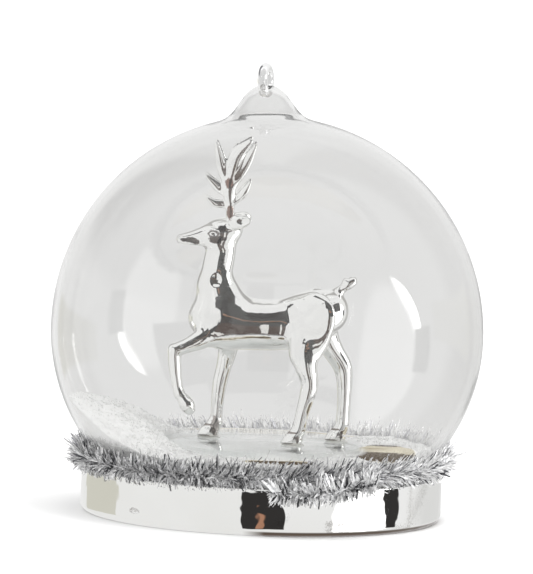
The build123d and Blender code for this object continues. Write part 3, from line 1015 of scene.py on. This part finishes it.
def garland_height(angle):
    """The garland sits a little high at the front and right."""
    at_front, at_right = 0.5, 0.6
    return WIRE_Z - at_front * np.sin(angle) + at_right * np.cos(angle)


def end_height(angle):
    """The free end droops and rises again to the garland."""
    droop, rise = 0.3, 2.0
    t = (np.degrees(angle) - END_FROM) / END_SWEEP
    return END_Z - droop + rise * np.clip(t * 1.6 - 0.6, 0, 1)


# The garland's halves: where each starts, and its ribbons' length, lift and foil; the back half's foil is
# painted paler, as painted light.
GARLAND = (
    ("tinsel_front", 180, 3.9, 0.0, FOIL),
    ("tinsel_back", 0, 4.5, 0.35, PAINTED_LIGHT_FOIL),
)


def make_tinsel():
    """The garland in two halves, and its free end, whose ribbons are broader and hang."""
    rng = np.random.default_rng(11)
    density = 34
    for name, start, reach, lift, material in GARLAND:
        roots, along = ring_roots(rng, start, 180, density, WIRE_R, garland_height)
        points, faces = fibres(rng, roots, along, reach, lift, lean=0.45)
        piece = add_object(name, points, faces.tolist(), material, smooth=False)
        take_place(piece, "tinsel_foil", "tinsel_pile")
    roots, along = ring_roots(rng, END_FROM, END_SWEEP, density * 0.85, END_R, end_height, spread=0.3)
    points, faces = fibres(rng, roots, along, reach=3.6, lift=-0.2, lean=-0.25, wide=1.35)
    tail = add_object("tinsel_free_end", points, faces.tolist(), END_FOIL, smooth=False)
    take_place(tail, "tinsel_foil", "tinsel_end")


def make_wire(name, node, radius, height, start, sweep, steps):
    """Two thin wires twisted round each other along an arc."""
    thick, apart, pitch, sides = 0.17, 0.18, 2.2, 8
    points, faces = [], []
    closed = sweep >= 360
    rows = steps if closed else steps + 1
    turns = round(radians(sweep) * radius / pitch)
    for strand in (0, pi):
        first = len(points)
        for i in range(rows):
            a = radians(start + sweep * i / steps)
            wind = strand + 2 * pi * turns * i / steps
            r = radius + apart * cos(wind)
            z = float(height(a)) + apart * sin(wind)
            for j in range(sides):
                b = 2 * pi * j / sides
                reach = r + thick * cos(b)
                points.append((reach * cos(a), reach * sin(a), z + thick * sin(b)))
        # Each quad is turned over and keeps its first corner.
        faces += [face[:1] + face[:0:-1] for face in wrapped(rows, sides, closed, first)]
        if not closed:
            last = first + (rows - 1) * sides
            faces.append([first + j for j in range(sides)])
            faces.append([last + j for j in range(sides)][::-1])
    piece = add_object(name, points, faces, WIRE)
    take_place(piece, "tinsel_wire", node)


# ---------------------------------------------------------------- the snow

# The drift's height over the bed, from left to right.
DRIFT = ((-47.0, 10.6), (-39.5, 9.2), (-33.0, 7.2), (-27.0, 4.9), (-21.5, 1.6), (-17.0, 0.2), (60.0, 0.0))
# The snow's distance from the stand, and from the globe's outer face.
STAND_GAP = 0.35
SNOW_GAP = GLASS_WALL + 0.35
SNOW_BOTTOM = FLOOR_Z - 0.3
# Bare ovals of the floor: centre, half width and half length.
BARE = ((28.8, -4.0, 8.4, 17.0), (4.0, -27.5, 9.0, 6.0), (2.0, 33.0, 34.0, 9.0))


def lumps(rng, count, size):
    """Random soft waves over the plane, as a function of place."""
    waves = rng.normal(size=(count, 2)) / size
    phase = rng.uniform(0, 2 * pi, count)

    def height(x, y):
        total = 0
        for (a, b), p in zip(waves, phase):
            total = total + np.sin(a * x + b * y + p)
        return total / sqrt(count)

    return height


def snow_top(x, y, wave, fine):
    """The snow's upper face: a drift at the left, a thin bed, and bare ovals where it dips into the floor."""
    drift_half_width = 27.0
    places, heights = np.array(DRIFT).T
    heap = np.interp(x, places, heights) * np.exp(-((y / drift_half_width) ** 4))
    heap *= 1 + 0.05 * wave(x, y)
    bed = 0.42 + 0.2 * wave(x * 1.7, y * 1.7) + 0.1 * fine(x, y)
    for cx, cy, wide, long in BARE:
        far = ((x - cx) / wide) ** 2 + ((y - cy) / long) ** 2 + 0.08 * wave(x * 2.5, y * 2.5)
        bed = np.minimum(bed, 0.8 * np.clip((far - 1.0) * 2.2, -0.3, 1))
    return FLOOR_Z + bed + heap + 0.16 * fine(x * 1.3, y * 1.3) * np.clip(heap, 0, 1)


def snow_rim(z):
    """How far out the snow reaches inside the globe."""
    return globe_radius(np.clip(z, SNOW_BOTTOM, GLOBE_Z), SNOW_GAP)


def make_snow():
    """One closed skin from the stand's edge out to the glass, then down and under."""
    rng = np.random.default_rng(5)
    wave, fine = lumps(rng, 14, 3.5), lumps(rng, 20, 0.8)
    around, rows = ((420, 60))
    a = 2 * pi * np.arange(around) / around
    outer = np.full(around, 39.0)
    # The rim depends on the snow's height and the height on the rim, so both settle in a few rounds.
    for _ in range(6):
        z = snow_top(outer * np.cos(a), outer * np.sin(a), wave, fine)
        outer = snow_rim(np.maximum(z, FLOOR_Z))
    inner = DISC_R + STAND_GAP
    rings = [np.stack([inner * np.cos(a), inner * np.sin(a), np.full(around, SNOW_BOTTOM)], 1)]
    for t in np.linspace(0, 1, rows):
        r = inner + (outer - inner) * t
        x, y = r * np.cos(a), r * np.sin(a)
        rings.append(np.stack([x, y, snow_top(x, y, wave, fine)], 1))
    top = rings[-1][:, 2]
    for t in (0.75, 0.5, 0.25, 0.0):
        z = SNOW_BOTTOM + (top - SNOW_BOTTOM) * t
        r = snow_rim(z)
        rings.append(np.stack([r * np.cos(a), r * np.sin(a), z], 1))
    snow = add_object("snow", np.concatenate(rings), wrapped(len(rings), around), SNOW)
    take_place(snow, "artificial_snow", "snow_drift", "snow_bed")
    make_flakes(rng, rings[1:rows + 1])


OCTAHEDRON = (
    (0, 2, 4), (2, 1, 4), (1, 3, 4), (3, 0, 4),
    (2, 0, 5), (1, 2, 5), (3, 1, 5), (0, 3, 5),
)


def make_flakes(rng, rings):
    """Small irregular grains lying on the snow, none of them on the bare ovals."""
    grid = np.array(rings)
    count = 14000
    i = rng.integers(0, grid.shape[0] - 1, count)
    j = rng.integers(0, grid.shape[1], count)
    centre = grid[i, j] + rng.normal(0, 0.18, (count, 3))
    centre[:, 2] = np.maximum(centre[:, 2], FLOOR_Z + 0.1)
    for x, y, wide, long in BARE:
        far = np.hypot((centre[:, 0] - x) / wide, (centre[:, 1] - y) / long)
        centre = centre[far > 0.95]
    count = len(centre)
    shape = np.array([(1, 0, 0), (-1, 0, 0), (0, 1, 0), (0, -1, 0), (0, 0, 1), (0, 0, -1)], float)
    size = rng.uniform(0.08, 0.2, (count, 1, 1)) * rng.uniform(0.6, 1.3, (count, 6, 1))
    points = shape[None] * size
    tilt = rng.normal(size=(count, 3))
    tilt /= np.linalg.norm(tilt, axis=1)[:, None]
    swing = rng.uniform(0, 2 * pi, count)
    c, s = np.cos(swing)[:, None, None], np.sin(swing)[:, None, None]
    k = tilt[:, None, :]
    round_axis = k * (points * k).sum(-1, keepdims=True) * (1 - c)
    points = points * c + np.cross(np.broadcast_to(k, points.shape), points) * s + round_axis
    points += centre[:, None, :]
    r = np.hypot(points[..., 0], points[..., 1])
    most = globe_radius(points[..., 2], GLASS_WALL + 0.05)
    points[..., :2] *= np.minimum(1, most / r)[..., None]
    faces = (np.array(OCTAHEDRON)[None] + 6 * np.arange(count)[:, None, None]).reshape(-1, 3)
    grains = add_object("snow_grains", points.reshape(-1, 3), faces.tolist(), SNOW)
    take_place(grains, "artificial_snow", "snow_bed")


# ---------------------------------------------------------------- stage, lights and camera

def make_floor():
    """A wide pale floor that mirrors and glass don't show."""
    s = Shader("floor")
    s.principled(Base_Color=s.ramp(s.noise(3, 3), [(0.3, 0.93), (0.7, 0.95)]), Roughness=0.9)
    half, drop = 6000.0, -0.02
    corners = [(-half, -half, drop), (half, -half, drop), (half, half, drop), (-half, half, drop)]
    floor = add_object("floor", corners, [(0, 1, 2, 3)], s.material)
    floor.visible_glossy = False
    floor.visible_transmission = False


class World(Nodes):
    """The studio round the object, by azimuth from the front (right is positive) and elevation."""

    def __init__(self):
        world = bpy.data.worlds.new("studio")
        bpy.context.scene.world = world
        world.use_nodes = True
        super().__init__(world.node_tree)
        x, y, z = self.node("SeparateXYZ", {0: self.node("TexCoord").outputs["Generated"]}).outputs
        back = self.math("MULTIPLY", y, -1.0)
        self.azimuth = self.math("MULTIPLY", self.math("ARCTAN2", x, back), 180 / pi)
        self.elevation = self.math("MULTIPLY", self.math("ARCSINE", z), 180 / pi)
        self.path = self.node("LightPath").outputs

    def step(self, value, low, high):
        return self.remap(value, low, high, interpolation_type="SMOOTHSTEP")

    def edge(self, value, low, high, soft):
        """1 between two angles, falling to 0 over a soft edge."""
        rise = self.step(value, low - soft / 2, low + soft / 2)
        fall = self.step(value, high - soft / 2, high + soft / 2)
        return self.math("SUBTRACT", rise, fall)

    def patch(self, azimuth, elevation, soft):
        across = self.edge(self.azimuth, *azimuth, soft)
        upward = self.edge(self.elevation, *elevation, soft)
        return self.math("MULTIPLY", across, upward)

    def oval(self, centre, half, soft):
        """1 inside an oval of angles, falling to 0 over a soft edge."""
        u = self.math("DIVIDE", self.math("SUBTRACT", self.azimuth, centre[0]), half[0])
        v = self.math("DIVIDE", self.math("SUBTRACT", self.elevation, centre[1]), half[1])
        far = self.math("ADD", self.math("MULTIPLY", u, u), self.math("MULTIPLY", v, v))
        return self.math("SUBTRACT", 1.0, self.step(far, 1 - soft, 1 + soft))

    def finish(self, colour, through, seen):
        """What mirrors show, what shows through glass, and what the camera sees directly."""
        unmirrored = self.math("LESS_THAN", self.path["Glossy Depth"], 0.5)
        shown = self.mix(unmirrored, colour, through)
        shown = self.mix(self.path["Is Diffuse Ray"], shown, seen)
        shown = self.mix(self.path["Is Camera Ray"], shown, seen)
        background = self.node("Background", {"Color": shown})
        self.node("OutputWorld", {"Surface": background.outputs[0]})


DARK = (0.035, 0.033, 0.032)
BROWN = (0.075, 0.05, 0.04)
# Panels that only the chrome inside the globe shows: azimuths, elevations, softness and tone.
PANELS_INSIDE = (
    ((-62, 40), (38, 47), 2.0, DARK),
    ((-3, 66), (2, 39), 2.0, DARK),
    ((-3, 28), (-5, 4), 2.0, DARK),
    ((-14, 6), (18, 39), 2.0, DARK),
    ((-3, 28), (-42, -4), 1.5, BROWN),
    ((2, 24), (12, 14.5), 0.6, (0.34, 0.2, 0.13)),
    ((12, 19), (-30, 2), 0.8, (0.8, 0.79, 0.77)),
)
# The same for what is outside the globe.
PANELS_OUTSIDE = (
    ((-10, 13.5), (-16, 3), 0.8, DARK),
    ((-2, 2.5), (-10.5, -5), 1.6, (0.42, 0.22, 0.14)),
)


def make_world():
    """Pale walls, grey at both sides of the back, a softbox with a lamp at its edge, and panels."""
    w = World()
    in_globe = w.math("GREATER_THAN", w.path["Transmission Depth"], 3.5)
    outside = w.math("LESS_THAN", w.path["Transmission Depth"], 0.5)

    def shade(where, azimuth, elevation, soft, tone):
        """A patch seen only by what stands inside the globe, or only by what is outside it."""
        factor = w.math("MULTIPLY", w.patch(azimuth, elevation, soft), where)
        return w.mix(factor, colour, tone)

    colour = w.mix(w.step(w.elevation, -30, 60), (0.86, 0.86, 0.855), (0.92, 0.92, 0.92))
    side = w.math("ABSOLUTE", w.azimuth)
    ring = w.math("MULTIPLY", w.edge(side, 122, 162, 16), in_globe)
    colour = w.mix(ring, colour, (0.42, 0.41, 0.40))
    colour = shade(outside, (-150, -40), (14, 62), 10, (0.2, 0.2, 0.21))
    colour = w.mix(w.patch((-150, -104), (-14, -1), 2), colour, (0.66, 0.65, 0.58))
    colour = w.mix(w.patch((118, 170), (-14, -1), 30), colour, (0.62, 0.62, 0.61))
    colour = shade(outside, (-110, 110), (46, 130), 40, (1.5, 1.5, 1.5))
    softbox = w.oval((70, -10), (19, 35), 0.3)
    colour = w.mix(softbox, colour, (2.0, 2.0, 2.0))
    lamp = w.math("MULTIPLY", w.oval((72, -2), (19, 31), 0.05), w.math("SUBTRACT", 1.0, softbox))
    lamp = w.math("MULTIPLY", lamp, w.step(w.azimuth, 77, 83))
    lamp = w.math("MULTIPLY", lamp, w.step(w.elevation, -2, 4))
    colour = w.mix(lamp, colour, (14.0, 14.0, 14.0))
    colour = w.mix(w.patch((86.5, 98), (-14, 4), 1.5), colour, DARK)
    for where, panels in ((in_globe, PANELS_INSIDE), (outside, PANELS_OUTSIDE)):
        for azimuth, elevation, soft, tone in panels:
            colour = shade(where, azimuth, elevation, soft, tone)
    w.finish(colour, (0.75, 0.75, 0.747), (1.02, 1.02, 1.02))


def sun(name, azimuth, elevation, strength, width):
    """A distant softbox, from an azimuth (right is positive) and elevation."""
    lamp = bpy.data.lights.new(name, "SUN")
    lamp.energy = strength
    lamp.angle = radians(width)
    holder = bpy.data.objects.new(name, lamp)
    bpy.context.scene.collection.objects.link(holder)
    a, e = radians(azimuth), radians(elevation)
    away = Vector((sin(a) * cos(e), -cos(a) * cos(e), sin(e)))
    holder.rotation_euler = (-away).to_track_quat("-Z", "Y").to_euler()
    holder.visible_camera = False
    holder.visible_glossy = False
    holder.visible_transmission = False


def make_lights():
    sun("key", 66, 38, 1.1, 50)
    sun("top", -30, 75, 0.8, 80)


# The camera, in metres.
CAMERA_AIM = Vector((-0.00054, 0.0, 0.0529))
CAMERA_DISTANCE = 3.0
CAMERA_ELEVATION = radians(6)
CAMERA_ROLL = radians(2.2)
VIEW_HEIGHT = 0.13256
SENSOR = 36


def make_camera():
    """A long lens, a little above the object and a little rolled."""
    data = bpy.data.cameras.new("camera")
    data.sensor_width = SENSOR
    data.lens = SENSOR * CAMERA_DISTANCE / VIEW_HEIGHT
    data.clip_start = 0.01
    camera = bpy.data.objects.new("camera", data)
    bpy.context.scene.collection.objects.link(camera)
    away = Vector((0, -cos(CAMERA_ELEVATION), sin(CAMERA_ELEVATION)))
    turn = (-away).to_track_quat("-Z", "Y").to_matrix().to_4x4()
    roll = Matrix.Rotation(CAMERA_ROLL, 4, "Z")
    camera.matrix_world = Matrix.Translation(CAMERA_AIM + away * CAMERA_DISTANCE) @ turn @ roll
    bpy.context.scene.camera = camera


def make_look():
    """Plain colours, and enough bounces for glass behind glass."""
    scene = bpy.context.scene
    scene.view_settings.view_transform = "Standard"
    scene.cycles.caustics_refractive = False
    scene.cycles.max_bounces = 24
    scene.cycles.transmission_bounces = 20
    scene.cycles.glossy_bounces = 8
    scene.cycles.transparent_max_bounces = 32


make_camera()
make_world()
make_lights()
make_floor()
make_look()
make_globe()
make_loop()
make_base()
make_lining()
make_disc()
make_deer()
make_antler("left_antler", "antler_left", 1)
make_antler("right_antler", "antler_right", -1)
make_tinsel()
make_wire("garland_wire", "tinsel_core", WIRE_R, garland_height, 0, 360, 1400)
make_wire("free_end_wire", "tinsel_end_core", END_R, end_height, END_FROM, END_SWEEP, 180)
make_snow()
refinish("floor_plug", PLUG)
refinish("globe_glue_bead", GLUE)
refinish("hoof_glue", GLUE)
